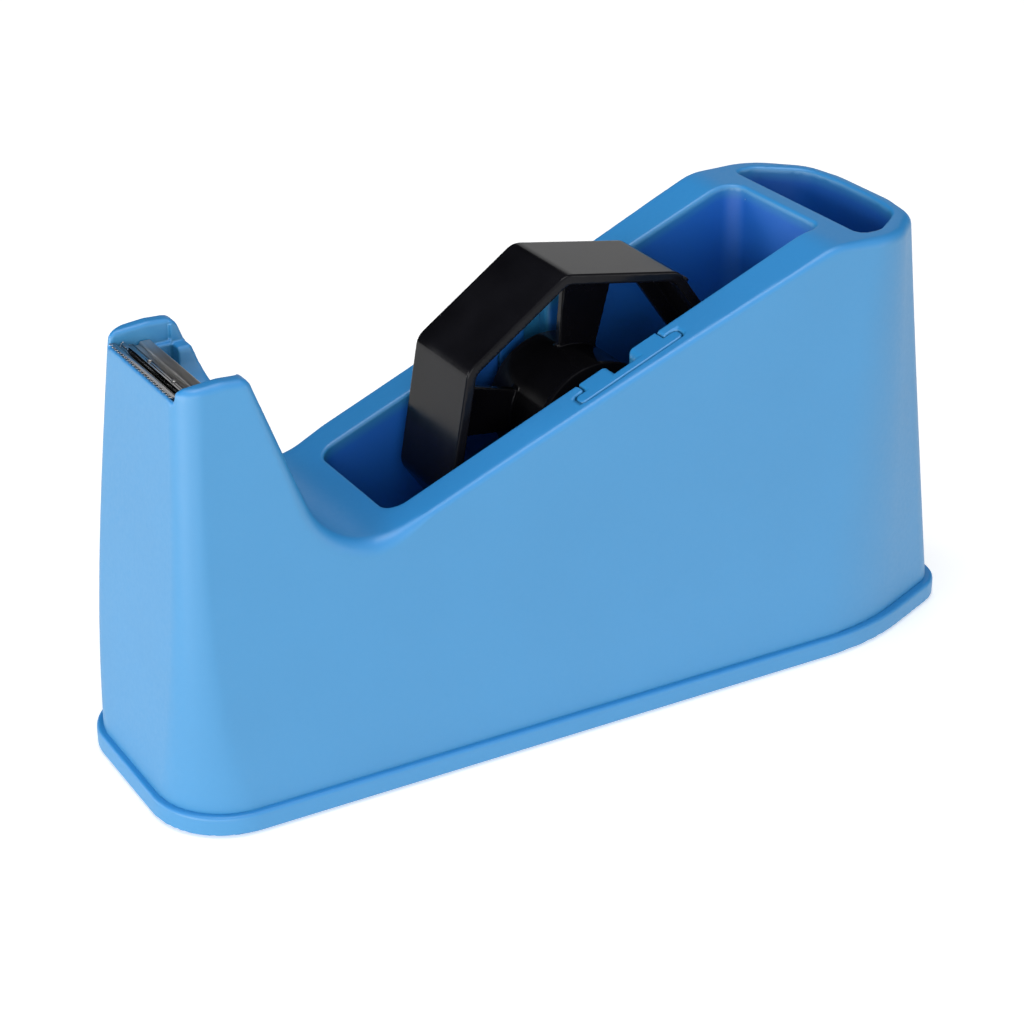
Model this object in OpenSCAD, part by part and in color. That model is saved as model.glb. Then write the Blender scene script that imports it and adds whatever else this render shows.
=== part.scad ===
// Heavy desktop tape dispenser with a lift-out wheel for 1-inch and 3-inch cores.
// X runs from the blade end (-X) to the pen cup (+X), Z is up, and the origin is on the
// table under the middle of the base.

/* [Base] */
// Length over the base lip
base_l = 204; // [202:0.5:206]
// Width over the base lip
base_w = 61; // [60:0.5:62]
// Height of the base lip
lip_h = 4.4; // [4:0.1:4.6]
// How far the lip stands proud of the shell
lip_step = 1.5; // [1.2:0.1:1.8]
// How far the feet stand proud of the base
foot_proud = 0.6; // [0.5:0.1:1]
// Diameter of a foot
foot_d = 14; // [12:0.5:15]

/* [Shell] */
// Thickness of the moulded walls
wall = 2.4; // [2.2:0.1:2.8]
// Height of the flat rear top above the table
rear_top_z = 100.8; // [99:0.1:102]
// Height of the crown of the two lugs beside the blade
lug_top_z = 96.4; // [96:0.1:96.8]
// Clear width between the two lugs, behind the blade
lug_gap = 30.4; // [30:0.1:31]
// Height of the deck that the blade holder sits on
deck_z = 91.5; // [91:0.1:92]
// Radius of the valley between tower and ramp
valley_r = 15; // [12:1:18]
// Slope of the ramp in degrees
ramp_angle = 22.5; // [22:0.1:23]

/* [Roll well] */
// Width of the well
well_w = 33; // [32:0.5:34]
// Front edge of the well
well_front_x = -47; // [-48:0.5:-46]
// Rear edge of the well
well_rear_x = 60.5; // [59:0.5:61]
// Height of the well's floor
well_floor_z = 8.8; // [8.5:0.1:10]
// Corner radius of the well
well_r = 4; // [3:0.5:5]

/* [Pen cup] */
// Straight front edge of the cup
cup_front_x = 65.2; // [64.5:0.1:66]
// Half the width of the cup
cup_half_w = 23.9; // [23.5:0.1:24.5]
// Height of the cup's floor
cup_floor_z = 30; // [28:1:40]

/* [Wheel] */
// Place of the axle along the body
axle_x = 8; // [7:0.5:9]
// Height of the axle
axle_z = 62; // [61.5:0.1:62.5]
// Diameter of the axle
axle_d = 5; // [4.8:0.1:5.2]
// Diameter over the corners of the 3-inch adapter
adapter_d = 75.4; // [75:0.1:75.8]
// Width of the wheel
wheel_w = 22.9; // [22:0.1:24]
// How far the wheel sits towards the right-hand wall
wheel_y = 1.5; // [0:0.1:2]
// Thickness of the adapter's rim
rim_t = 2.3; // [2:0.1:2.6]
// Diameter of the 1-inch spindle
spindle_d = 25.4; // [25:0.1:25.6]
// Clearance round the axle in its notches
notch_clear = 0.1; // [0.08:0.01:0.1]

/* [Hidden] */
$fn = 48;
eps = 0.01;
far = 200;

blue = [0.20, 0.55, 0.84];
black = [0.05, 0.05, 0.06];
steel = [0.62, 0.62, 0.64];
dark_steel = [0.30, 0.30, 0.32];
iron = [0.25, 0.25, 0.26];
rubber = [0.12, 0.12, 0.12];

// Levels of the shell's loft, from the top of the lip to above the flat rear top
base_z = foot_proud;
shell_z = base_z + lip_h;
loft_top_z = rear_top_z + 1;
loft_levels = 7;
// How fast the front corners tighten above the foot
corner_power = 3.5;
side_steps = 8;
corner_steps = 5;

// Half outlines as [x, y, corner radius], from the front corner to the flat of the back
lip_half = [
  [-base_l / 2, base_w / 2, 17], [71.2, base_w / 2, 60],
  [base_l / 2 - 1.1, 17.8, 11.5], [base_l / 2, 9, 20]
];
foot_half = [for (p = lip_half) [p.x - sign(p.x) * lip_step, max(p.y - lip_step, 0), p.z - lip_step]];
top_half = [[-92.6, 19, 5.5], [72, 29.9, 14], [83, 19.3, 12], [85, 9, 20]];

// Side profile
tower_rear_slope = 0.3664;
tower_rear_x = -67.6;
tower_rear_z = 67;
lug_front_z = lug_top_z - 0.9;
ramp_mid_z = 77.8;

// Blade and its seat
blade_front_x = -93.2;
// Raised lip of the shell under the teeth
blade_lip_x = -91.9;
blade_lip_z = 93;
holder_front_x = blade_lip_x + 0.1;
holder_rear_x = -84.6;
pocket_rear_x = -79.8;
pocket_floor_z = 76;
pocket_w = 29.2;
seat_w = lug_gap + 1.8;
blade_w = seat_w - 0.6;
tooth_pitch = 1.5;
tooth_depth = 1;
holder_t = 0.6;
ridge_x = blade_front_x + 3.3;
rivet_x = -88.3;
rivet_y = 6;
rivet_d = 0.9;
// Notch in the rear wall of the tower, which leaves room for a finger behind the blade
finger_w = 23;
finger_floor_z = 82.5;
finger_r = 6;

// Wheel
notch_w = axle_d + 2 * notch_clear;
bracket_in_y = well_w / 2 + 0.1;
bracket_mid_y = 20;
bracket_out_y = 23.2;
bracket_bottom_z = 49.8;
bracket_gap = 0.3;
axle_half = bracket_mid_y - 0.15;
run = 0.05;
sleeve_r = spindle_d / 2 + run;
sleeve_t = 1.9;
flange_r = 15.2;
flange_t = 1.5;
// Web of the adapter, and its windows: one at every second face of the octagon
web_y = 3.2;
web_t = 2;
window_apex = 5.4;
window_side = [25.2, 16.5];
window_out = [29.5, 12.2];
window_fillet = 1.5;
// What the rounding takes off each corner of the octagon
corner_fillet = 4.5;
corner_loss = corner_fillet * (1 / cos(22.5) - 1);

// Fasteners
post_d = 8;
post_top_z = 28;
base_screw_at = [for (x = [-66, 66], s = [-1, 1]) [x, s * 22.4]];
screw_d = 3;
pilot_d = 2.6;
head_d = 6;
head_h = 1.8;
foot_at = [[-86, 15], [84, 12]];
foot_t = 2;
ballast_screw_at = [[-80, 0], [-60, 0], [76, 0]];

// ---- Outlines -------------------------------------------------------------------------

function unit(v) = v / norm(v);
function mix(a, b, t) = a + (b - a) * t;

// Points round the corner at b between a and c, with radius r
function corner(a, b, c, r, n) =
  let (
    u = unit(a - b), v = unit(c - b), half = acos(u * v) / 2,
    centre = b + unit(u + v) * r / sin(half),
    p = b + u * r / tan(half) - centre,
    turn = (u.x * v.y - u.y * v.x > 0 ? -1 : 1) * (180 - 2 * half)
  )
  [for (i = [0:n]) let (w = turn * i / n)
    centre + [p.x * cos(w) - p.y * sin(w), p.x * sin(w) + p.y * cos(w)]];

// A closed outline with its corners rounded; a point is [x, y, radius]
function rounded(pts, n = corner_steps) = [
  for (i = [0:len(pts) - 1])
    let (
      k = len(pts), a = pts[(i + k - 1) % k], b = pts[i], c = pts[(i + 1) % k],
      p = [b.x, b.y]
    )
    each b.z > 0 ? corner([a.x, a.y], p, [c.x, c.y], b.z, n) : [p]
];

// A whole outline from its half, mirrored in the X axis
function whole(half) = concat(
  [for (p = half) [p.x, -p.y, p.z]],
  [for (i = [len(half) - 1:-1:0]) half[i]]
);

function inset(half, d) = [
  for (p = half) [p.x - sign(p.x) * d, max(p.y - d, 0), max(p.z - d, 1)]
];

// The outline with extra points along its two long sides
function outline(half) =
  let (r = rounded(whole(half)), m = corner_steps, k = len(r))
  [for (i = [0:k - 1]) each
    (i == m || i == k - m - 2)
      ? [for (j = [0:side_steps - 1]) mix(r[i], r[i + 1], j / side_steps)]
      : [r[i]]];

function ramp_z(x) = ramp_mid_z + x * tan(ramp_angle);
function tower_x(z) = tower_rear_x + (tower_rear_z - z) * tower_rear_slope;

// Where the tower's rear face meets the ramp
valley_x = tower_x(ramp_mid_z) / (1 + tower_rear_slope * tan(ramp_angle));

// Side profile of the shell, moved inwards by d
function profile(d) = [
  [-far, -far, 0], [-far, lug_front_z - d, 0],
  [-93.2 + d, lug_front_z - d, 0], [-84, lug_top_z - d, 8],
  [tower_x(lug_top_z) - d, lug_top_z - 0.3 - d, 3],
  [valley_x - d * 0.6, ramp_z(valley_x) - d * 1.1, valley_r + d],
  [(rear_top_z - ramp_mid_z) / tan(ramp_angle), rear_top_z - d, 14],
  [far, rear_top_z - d, 0], [far, -far, 0]
];

// ---- Building blocks ------------------------------------------------------------------

// A solid through rings of points that all have the same count
module loft(rings) {
  n = len(rings[0]);
  m = len(rings);
  points = [for (ring = rings) each ring];
  sides = [for (k = [0:m - 2], i = [0:n - 1])
    let (a = k * n + i, b = k * n + (i + 1) % n)
    each [[a, a + n, b], [b, a + n, b + n]]];
  bottom = [[for (i = [0:n - 1]) i]];
  top = [[for (i = [n - 1:-1:0]) (m - 1) * n + i]];
  polyhedron(points, concat(bottom, sides, top), convexity = 6);
}

// Half outline at height z, moved inwards by d; the front corner tightens quickly at first
function half_at(z, d) =
  let (
    t = (z - shell_z) / (loft_top_z - shell_z), a = inset(foot_half, d),
    b = inset(top_half, d)
  )
  [for (i = [0:len(a) - 1])
    let (p = mix(a[i], b[i], t))
    i > 0 ? p : [p.x, p.y, mix(b[0].z, a[0].z, pow(1 - t, corner_power))]];

// The tapering body between the foot outline and the top outline, moved inwards by d
module tapered(d, z0 = shell_z, z1 = loft_top_z) {
  loft([for (k = [0:loft_levels])
    let (z = mix(z0, z1, k / loft_levels))
    [for (p = outline(half_at(z, d))) [p.x, p.y, z]]]);
}

module side_prism(points, w) {
  rotate([90, 0, 0]) linear_extrude(w, center = true) polygon(points);
}

module outer_form(d = 0, z0 = shell_z) {
  intersection() {
    tapered(d, z0);
    side_prism(rounded(profile(d)), 2 * base_w);
  }
}

module box(lo, hi) {
  translate(lo) cube(hi - lo);
}

module rod_y(r, y0, y1, x = axle_x, z = axle_z) {
  translate([x, y0, z]) rotate([-90, 0, 0]) cylinder(r = r, h = y1 - y0);
}

// Upright block with rounded corners
module slot_block(x0, x1, w, r, z0) {
  pts = [[x0, -w / 2, r], [x1, -w / 2, r], [x1, w / 2, r], [x0, w / 2, r]];
  translate([0, 0, z0]) linear_extrude(far - z0) polygon(rounded(pts));
}

module cup_block(d, z0) {
  half = [
    [cup_front_x - d, cup_half_w + d, 2.5 + d], [70.5, cup_half_w + d, 5 + d],
    [80.2 + d, 16.5 + d * 0.4, 9 + d], [81.6 + d, 6, 20]
  ];
  translate([0, 0, z0]) linear_extrude(far - z0) polygon(rounded(whole(half)));
}

// T-shaped slot or bracket outline on the -Y side, grown by d
module bracket_plan(d) {
  polygon([
    [axle_x - 9.5 - d, -bracket_in_y + d], [axle_x + 9.5 + d, -bracket_in_y + d],
    [axle_x + 9.5 + d, -bracket_mid_y + d], [axle_x + 12.5 + d, -bracket_mid_y + d],
    [axle_x + 12.5 + d, -bracket_out_y - d], [axle_x - 12.5 - d, -bracket_out_y - d],
    [axle_x - 12.5 - d, -bracket_mid_y + d], [axle_x - 9.5 - d, -bracket_mid_y + d]
  ]);
}

module both_sides() {
  children();
  mirror([0, 1, 0]) children();
}

// ---- Shell and base -------------------------------------------------------------------

// What stays solid inside the shell: well, cup, blade seat, bracket bosses and posts
module shell_inner_solids() {
  slot_block(well_front_x - wall, well_rear_x + wall, well_w + 2 * wall, well_r + wall,
    well_floor_z - wall);
  cup_block(wall, cup_floor_z - wall);
  box([-far, -far, deck_z - wall], [-50, far, far]);
  box([holder_rear_x - wall, -pocket_w / 2 - wall, pocket_floor_z - wall],
    [pocket_rear_x + wall, pocket_w / 2 + wall, far]);
  box([pocket_rear_x, -finger_w / 2 - wall, finger_floor_z - wall],
    [-50, finger_w / 2 + wall, far]);
  both_sides() box([axle_x - 16, -far, bracket_bottom_z - wall], [axle_x + 16, -well_w / 2, far]);
  for (p = base_screw_at) translate([p.x, p.y, 0]) cylinder(d = post_d, h = post_top_z);
}

module body_shell() {
  color(blue) difference() {
    outer_form();
    difference() {
      outer_form(wall, shell_z - 1);
      shell_inner_solids();
    }
    slot_block(well_front_x, well_rear_x, well_w, well_r, well_floor_z);
    cup_block(0, cup_floor_z);
    box([blade_lip_x, -seat_w / 2, deck_z], [pocket_rear_x, seat_w / 2, far]);
    box([-far, -seat_w / 2, blade_lip_z], [blade_lip_x + 1, seat_w / 2, far]);
    box([pocket_rear_x - 2, -lug_gap / 2, deck_z], [pocket_rear_x + 20, lug_gap / 2, far]);
    box([holder_rear_x, -pocket_w / 2, pocket_floor_z], [pocket_rear_x, pocket_w / 2, far]);
    finger_notch();
    both_sides() translate([0, 0, bracket_bottom_z]) linear_extrude(far) bracket_plan(bracket_gap);
    for (p = base_screw_at)
      translate([p.x, p.y, 0]) cylinder(d = pilot_d, h = post_top_z - 6);
    rivet_holes();
  }
}

// Open to the rear, with rounded lower corners
module finger_notch() {
  translate([pocket_rear_x - 1, 0, 0]) rotate([90, 0, 90]) linear_extrude(30)
    polygon(rounded([
      [-finger_w / 2, finger_floor_z, finger_r], [finger_w / 2, finger_floor_z, finger_r],
      [finger_w / 2, far, 0], [-finger_w / 2, far, 0]
    ]));
}

module base_plate() {
  floor_t = 2.2;
  tongue_out = inset(foot_half, wall + 0.5);
  tongue_in = inset(foot_half, wall + 2.1);
  color(blue) difference() {
    union() {
      difference() {
        translate([0, 0, base_z]) linear_extrude(lip_h) polygon(outline(lip_half));
        translate([0, 0, base_z + floor_t]) linear_extrude(lip_h) polygon(outline(tongue_in));
      }
      difference() {
        translate([0, 0, shell_z - eps]) linear_extrude(3) polygon(outline(tongue_out));
        translate([0, 0, shell_z - 1]) linear_extrude(6) polygon(outline(tongue_in));
        for (p = base_screw_at)
          translate([p.x, p.y, shell_z]) cylinder(d = post_d + 0.6, h = 6);
      }
      for (p = base_screw_at)
        translate([p.x, p.y, base_z]) cylinder(d = post_d, h = lip_h);
      for (p = ballast_screw_at)
        translate([p.x, p.y, base_z]) cylinder(d = 10, h = lip_h);
    }
    for (p = concat(base_screw_at, ballast_screw_at)) translate([p.x, p.y, 0]) {
      cylinder(d = screw_d + 0.4, h = 20);
      cylinder(d = head_d + 1, h = base_z + head_h + 0.2);
    }
    for (p = foot_at, s = [-1, 1])
      translate([p.x, s * p.y, 0]) cylinder(d = foot_d, h = foot_t);
  }
}

module ballast(x0, x1, z1, d) {
  difference() {
    intersection() {
      tapered(d, shell_z - 1);
      box([x0, -far, shell_z], [x1, far, z1]);
    }
    for (p = base_screw_at) translate([p.x, p.y, 0]) cylinder(d = post_d + 2, h = far);
    for (p = ballast_screw_at) translate([p.x, p.y, 0]) cylinder(d = pilot_d, h = 16);
  }
}

module ballast_front() {
  color(iron) ballast(-90, well_front_x - wall - 1, 46, 6.5);
}

module ballast_rear() {
  color(iron) ballast(well_rear_x + wall + 1, 89, cup_floor_z - wall - 1, 6.5);
}

// Pan-head screw standing on z = 0 with its head below
module screw(l) {
  cylinder(d = head_d, h = head_h);
  cylinder(d = screw_d - 0.1, h = head_h + l);
}

module screws(places, l) {
  color(steel) for (p = places) translate([p.x, p.y, base_z + 0.2]) screw(l);
}

module base_screws() {
  screws(base_screw_at, 14);
}

module ballast_screws() {
  screws(ballast_screw_at, 9);
}

module foot(i, side) {
  color(rubber) translate([foot_at[i].x, side * foot_at[i].y, 0]) cylinder(d = foot_d, h = foot_t);
}

// ---- Blade ----------------------------------------------------------------------------

module rivet_holes() {
  for (s = [-1, 1])
    translate([rivet_x, s * rivet_y, deck_z - 4]) cylinder(d = rivet_d, h = 10);
}

// Folded channel: front ledge, ridge, groove, rear land and a hook into the pocket
module blade_holder() {
  z = deck_z;
  color(dark_steel) difference() {
    union() {
      side_prism([
        [holder_front_x, z], [holder_rear_x + holder_t, z],
        [holder_rear_x + holder_t, z + 1.3], [holder_rear_x - 1.7, z + 1.3],
        [holder_rear_x - 1.9, z + holder_t], [holder_front_x, z + holder_t]
      ], blade_w);
      box([holder_rear_x, -pocket_w / 2 + 0.3, z - 8],
        [holder_rear_x + holder_t, pocket_w / 2 - 0.3, z + 1]);
    }
    rivet_holes();
  }
}

// Side view of the toothed strip, from its cutting edge over the ridge into the groove
function blade_strip(z) = [
  [blade_front_x, z + 1.25], [blade_lip_x + 0.1, z + 0.97], [ridge_x - 0.95, z],
  [ridge_x - 0.6, z], [ridge_x - 0.2, z + 0.9], [ridge_x + 0.2, z + 0.9], [ridge_x + 0.6, z],
  [ridge_x + 2.1, z], [ridge_x + 2.1, z + 0.4], [ridge_x + 0.9, z + 0.4],
  [ridge_x + 0.4, z + 1.3], [ridge_x - 0.4, z + 1.3], [ridge_x - 0.75, z + 0.4],
  [blade_lip_x + 0.35, z + 1.38], [blade_front_x, z + 1.65]
];

// Top view of the strip, with its teeth along the front
module toothed_plan() {
  teeth = floor(blade_w / tooth_pitch);
  step = blade_w / teeth;
  polygon(concat(
    [for (i = [0:teeth - 1], j = [0, 1])
      [blade_front_x + tooth_depth * (1 - j), -blade_w / 2 + (i + j / 2) * step]],
    [[blade_front_x + tooth_depth, blade_w / 2], [0, blade_w / 2], [0, -blade_w / 2]]
  ));
}

module cutter_blade() {
  color(steel) difference() {
    intersection() {
      side_prism(blade_strip(deck_z + holder_t), blade_w);
      linear_extrude(far) toothed_plan();
    }
    rivet_holes();
  }
}

module blade_rivets() {
  color(dark_steel) for (s = [-1, 1]) translate([rivet_x, s * rivet_y, deck_z - 4]) {
    cylinder(d = rivet_d, h = 5);
    translate([0, 0, 5]) cylinder(d = rivet_d + 0.1, h = 0.3);
  }
}

// ---- Wheel ----------------------------------------------------------------------------

// T-shaped insert with an open notch for the axle, on the -Y side
module axle_bracket() {
  color(blue) difference() {
    intersection() {
      translate([0, 0, bracket_bottom_z]) linear_extrude(60) bracket_plan(0);
      side_prism([for (p = [[-40, 0], [50, 0]]) [p.x, ramp_z(p.x) - 0.15],
        [50, 0], [-40, 0]], 3 * base_w);
    }
    rod_y(notch_w / 2, -bracket_mid_y, 0);
    box([axle_x - notch_w / 2, -bracket_mid_y, axle_z], [axle_x + notch_w / 2, 0, far]);
  }
}

module axle() {
  color(steel) rod_y(axle_d / 2, -axle_half, axle_half);
}

// Sleeve on the axle, on the -Y side
module axle_collar(y1) {
  color(black) difference() {
    rod_y(4, -well_w / 2 + 0.3, y1);
    rod_y(axle_d / 2, -far, 0);
  }
}

module core_spindle() {
  y0 = wheel_y - wheel_w / 2;
  y1 = wheel_y + wheel_w / 2;
  color(black) difference() {
    union() {
      difference() {
        rod_y(spindle_d / 2, y0, y1);
        rod_y(spindle_d / 2 - 1.8, y0 + flange_t, wheel_y - 1);
        rod_y(spindle_d / 2 - 1.8, wheel_y + 1, far);
      }
      rod_y(5, y0, y1);
      rod_y(flange_r, y0, y0 + flange_t);
    }
    rod_y(axle_d / 2 + run, -far, far);
  }
}

// Octagon outline of the adapter, with rounded corners
function octagon(r, fillet) = rounded([for (i = [0:7])
  let (a = 13 + i * 45) [r * cos(a), r * sin(a), fillet]], 4);

module adapter_prism(y0, y1) {
  translate([axle_x, y1, axle_z]) rotate([90, 0, 0]) linear_extrude(y1 - y0) children();
}

// Outlines of the windows; their sides lead away from the axle at 40 degrees
module adapter_windows() {
  f = window_fillet;
  for (i = [0:3]) rotate(35.5 + i * 90) polygon(rounded([
    [window_apex, 0, 0], [window_side.x, -window_side.y, f], [window_out.x, -window_out.y, f],
    [window_out.x, window_out.y, f], [window_side.x, window_side.y, f]
  ], 3));
}

module core_adapter() {
  y0 = wheel_y - wheel_w / 2;
  y1 = wheel_y + wheel_w / 2;
  r = adapter_d / 2 + corner_loss;
  inner_r = r - rim_t / cos(22.5);
  color(black) union() {
    adapter_prism(y0, y1) difference() {
      polygon(octagon(r, corner_fillet));
      polygon(octagon(inner_r, 3));
    }
    difference() {
      union() {
        adapter_prism(web_y, web_y + web_t) difference() {
          polygon(octagon(inner_r + 1, 3));
          adapter_windows();
        }
        rod_y(sleeve_r + sleeve_t, y0 + flange_t + 0.1, y1);
      }
      rod_y(sleeve_r, -far, far);
    }
    adapter_prism(y0, y1) rotate(54) translate([r - rim_t, -0.7]) square([rim_t - 0.4, 1.4]);
  }
}

// ---- Nodes ----------------------------------------------------------------------------

body_shell();
base_plate();
ballast_front();
ballast_rear();
base_screws();
ballast_screws();
foot(0, -1);  // foot_front_left
foot(0, 1);  // foot_front_right
foot(1, -1);  // foot_rear_left
foot(1, 1);  // foot_rear_right
blade_holder();
cutter_blade();
blade_rivets();
axle_bracket();  // axle_bracket_left
mirror([0, 1, 0]) axle_bracket();  // axle_bracket_right
axle();
axle_collar(wheel_y - wheel_w / 2 - 0.3);  // axle_collar_left
mirror([0, 1, 0]) axle_collar(-wheel_y - wheel_w / 2 - 0.3);  // axle_collar_right
core_spindle();
core_adapter();
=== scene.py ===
"""Looks of a heavy desktop tape dispenser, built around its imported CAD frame.

Every moulded piece is a function that gives the signed distance to its surface, negative inside,
with the small fillets of a real moulding. surface() turns such a function into a smooth mesh.
Lengths are in millimetres up to surface() and mesh_piece(), which make Blender meshes in metres.
X runs from the blade to the pen cup, and Z is up.
"""

import math

import bpy
import numpy as np
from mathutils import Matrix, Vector


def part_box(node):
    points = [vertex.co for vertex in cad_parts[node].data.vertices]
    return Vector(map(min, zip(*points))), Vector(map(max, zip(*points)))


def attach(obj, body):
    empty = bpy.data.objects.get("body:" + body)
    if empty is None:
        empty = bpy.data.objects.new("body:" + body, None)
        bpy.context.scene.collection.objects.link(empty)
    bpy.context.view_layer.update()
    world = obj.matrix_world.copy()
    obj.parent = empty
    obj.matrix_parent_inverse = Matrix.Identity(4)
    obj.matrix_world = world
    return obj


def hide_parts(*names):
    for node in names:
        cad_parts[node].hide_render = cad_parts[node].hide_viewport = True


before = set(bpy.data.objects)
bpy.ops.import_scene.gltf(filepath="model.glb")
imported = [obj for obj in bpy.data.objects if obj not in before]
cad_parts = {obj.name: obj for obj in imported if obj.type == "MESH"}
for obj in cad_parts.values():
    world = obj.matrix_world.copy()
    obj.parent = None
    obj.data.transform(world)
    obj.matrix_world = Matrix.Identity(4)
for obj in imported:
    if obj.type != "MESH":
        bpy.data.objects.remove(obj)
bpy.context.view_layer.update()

# ---- Sizes ----------------------------------------------------------------------------

MM = 1000.0


def box_mm(node):
    """Lowest and highest corner of a CAD node in millimetres."""
    low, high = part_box(node)
    return np.array(low) * MM, np.array(high) * MM


BASE_LO, BASE_HI = box_mm("base_plate")
SHELL_LO, SHELL_HI = box_mm("body_shell")
AXLE_LO, AXLE_HI = box_mm("axle")
WHEEL_LO, WHEEL_HI = box_mm("core_adapter")
BRACKET_LO, BRACKET_HI = box_mm("axle_bracket_right")
HOLDER_LO, HOLDER_HI = box_mm("blade_holder")
STRIP_LO, STRIP_HI = box_mm("cutter_blade")

BASE_Z = BASE_LO[2]
SHELL_Z = SHELL_LO[2]
TOP_Z = SHELL_HI[2]
HALF_L = BASE_HI[0]
HALF_W = BASE_HI[1]
LIP_STEP = BASE_HI[0] - SHELL_HI[0]
WALL = 2.4
LOFT_TOP_Z = TOP_Z + 1
# Inset of the hidden side of the wall at two heights, and how far its foot goes into the lip
HIDDEN_WALL_Z, HIDDEN_WALL = [10, 16], [WALL, WALL + 0.8]
FOOT_OVERLAP = 0.4

LUG_TOP_Z = 96.4
LUG_FRONT_Z = 95.5
DECK_Z = 91.5
BLADE_LIP_X, BLADE_LIP_Z = -91.9, 93.0
RAMP_SLOPE = math.tan(math.radians(22.5))
RAMP_MID_Z = 77.8
TOWER_SLOPE = 0.3664
TOWER_REAR_X, TOWER_REAR_Z = -67.6, 67.0

WELL_X0, WELL_X1, WELL_HALF, WELL_R, WELL_FLOOR_Z = -47.0, 60.5, 16.5, 4.0, 8.8
CUP_X0, CUP_HALF, CUP_FLOOR_Z = 65.2, 23.9, 30.0
SEAT_HALF, LUG_HALF = 16.1, 15.2
POCKET_X0, POCKET_X1, POCKET_HALF, POCKET_FLOOR_Z = -84.6, -79.8, 14.6, 76.0
FINGER_HALF, FINGER_FLOOR_Z, FINGER_R = 11.5, 82.5, 6.0

AXLE_X = (AXLE_LO[0] + AXLE_HI[0]) / 2
AXLE_Z = (AXLE_LO[2] + AXLE_HI[2]) / 2
AXLE_R = (AXLE_HI[0] - AXLE_LO[0]) / 2
WHEEL_Y0, WHEEL_Y1 = WHEEL_LO[1], WHEEL_HI[1]
WHEEL_Y = (WHEEL_Y0 + WHEEL_Y1) / 2
OCTAGON_R = 38.07
OCTAGON_TURN = math.radians(13)
OCTAGON_FILLET = 4.5
RIM_T = 2.3
SPINDLE_R = 12.7
FLANGE_R, FLANGE_T = 15.2, 1.5
SLEEVE_R, SLEEVE_T = 12.75, 1.9
WEB_Y, WEB_T = 3.2, 2.0
WINDOW_TURN = math.radians(35.5)

BRACKET_IN, BRACKET_MID, BRACKET_OUT = 16.6, 20.0, 23.2
BRACKET_GAP = 0.3
BRACKET_INNER_HALF, BRACKET_BAR_HALF = 9.5, 12.5
NOTCH_R = 2.6

SCREW_AT = [(x, y) for x in (-66, 66) for y in (-22.4, 22.4)]
BALLAST_SCREW_AT = [(-80, 0), (-60, 0), (76, 0)]
SCREW_HOLE_R, SCREW_HEAD_HOLE_R, SCREW_HEAD_H = 1.7, 3.5, 2.0
SCREW_POST_R, SCREW_POST_TOP_Z = 4.0, 28
FOOT_AT = [(-86, 15), (84, 12)]
FOOT_R, FOOT_T = 7.0, 2.0


# ---- Distances ------------------------------------------------------------------------

def rounded_line(px, py, corners):
    """Signed distance to an open line with rounded corners, negative on its right-hand side.
    A corner is (x, y, radius), and each of these may be an array that varies with height."""
    best = np.inf
    signed = 0.0
    units, cuts = [], [0.0]
    for (ax, ay, _), (bx, by, _) in zip(corners, corners[1:]):
        length = np.hypot(bx - ax, by - ay)
        units.append(((bx - ax) / length, (by - ay) / length, length))
    for (ux, uy, _), (vx, vy, _), (_, _, r) in zip(units, units[1:], corners[1:]):
        cosine = ux * vx + uy * vy
        cuts.append(r * np.sqrt((1 - cosine) / (1 + cosine)))
    cuts.append(0.0)
    for i, (ux, uy, length) in enumerate(units):
        ax = corners[i][0] + ux * cuts[i]
        ay = corners[i][1] + uy * cuts[i]
        along = np.clip((px - ax) * ux + (py - ay) * uy, 0, length - cuts[i] - cuts[i + 1])
        dx = px - ax - along * ux
        dy = py - ay - along * uy
        distance = np.hypot(dx, dy)
        side = np.where(ux * dy - uy * dx >= 0, distance, -distance)
        signed = np.where(distance < best, side, signed)
        best = np.minimum(distance, best)
    for i, (cx, cy, r) in enumerate(corners[1:-1]):
        (ux, uy, _), (vx, vy, _) = units[i], units[i + 1]
        turn = np.sign(ux * vy - uy * vx)
        scale = turn * r / (1 + ux * vx + uy * vy)
        qx = px - cx + (uy + vy) * scale
        qy = py - cy - (ux + vx) * scale
        within = (ux * qx + uy * qy >= 0) & (vx * qx + vy * qy <= 0)
        off = np.hypot(qx, qy) - r
        closer = within & (np.abs(off) < best)
        signed = np.where(closer, -turn * off, signed)
        best = np.where(closer, np.abs(off), best)
    return signed


def both(a, b, r=0.0):
    """What two solids share, with a fillet of radius r along the edge."""
    round_part = np.hypot(np.maximum(a + r, 0), np.maximum(b + r, 0))
    return np.minimum(np.maximum(a, b), -r) + round_part


def cut(a, b, r=0.0):
    """The first solid without the second, with its new edges rounded."""
    return both(a, -b, r)


def join(a, b, r=0.0):
    """Two solids as one, with a fillet of radius r in the corner between them."""
    return -both(-a, -b, r)


def rectangle(x, y, half_x, half_y, r=0.0):
    """Distance to a rectangle round the origin with rounded corners."""
    qx = np.abs(x) - half_x + r
    qy = np.abs(y) - half_y + r
    return np.hypot(np.maximum(qx, 0), np.maximum(qy, 0)) + np.minimum(np.maximum(qx, qy), 0) - r


def between(v, low, high):
    """Distance to the slab from low to high."""
    return np.maximum(low - v, v - high)


def rounded_edge_slab(outline, v, low, high, r_low, r_high):
    """An outline extruded from low to high, with its two rims rounded."""
    return both(both(outline, low - v, r_low), v - high, r_high)


def mix(a, b, t):
    return a + (b - a) * t


# ---- Meshes ---------------------------------------------------------------------------

def graded(low, high, fine, coarse, spots=(), reach=2.0):
    """Grid lines from low to high, fine near the spots and coarse away from them."""
    at, lines = low, [low]
    while at < high:
        nearest = min([abs(at - s) for s in spots] or [1e9])
        at += mix(fine, coarse, min(max((nearest - reach) / (4 * coarse), 0), 1))
        lines.append(at)
    return np.array(lines)


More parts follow.
